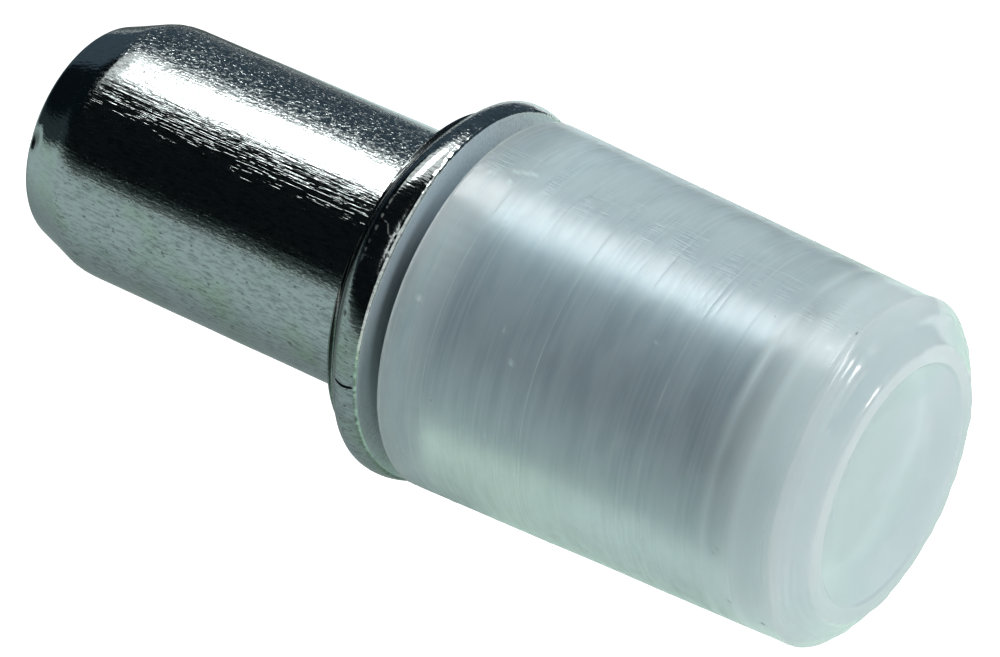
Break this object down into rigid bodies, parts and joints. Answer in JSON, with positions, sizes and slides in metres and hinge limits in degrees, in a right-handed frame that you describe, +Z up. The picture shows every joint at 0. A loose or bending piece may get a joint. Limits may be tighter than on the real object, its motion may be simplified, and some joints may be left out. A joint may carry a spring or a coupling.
{
  "type": "shelf support pin",
  "caption": "Steel shelf support pin with a plug for a panel hole, a seating collar and a translucent plastic sleeve that carries the shelf.",
  "frame": {"origin": "centre of the collar's seating face, where the pin's axis crosses the face of the panel", "axes": "+X along the pin's axis from the panel to the sleeve's closed end, so the plug points along -X; +Z up, towards the shelf; +Y across"},
  "size_m": [0.0175, 0.0072, 0.0072],
  "materials": {
    "bright_zinc_steel": "bright zinc plate over drawn wire, with fine lengthwise streaks and speckle",
    "translucent_plastic": "milky translucent moulded plastic, satin, with fine rings round it"
  },
  "bodies": {
    "root": {"steel_pin": "bright_zinc_steel", "clear_sleeve": "translucent_plastic"}
  },
  "joints": []
}
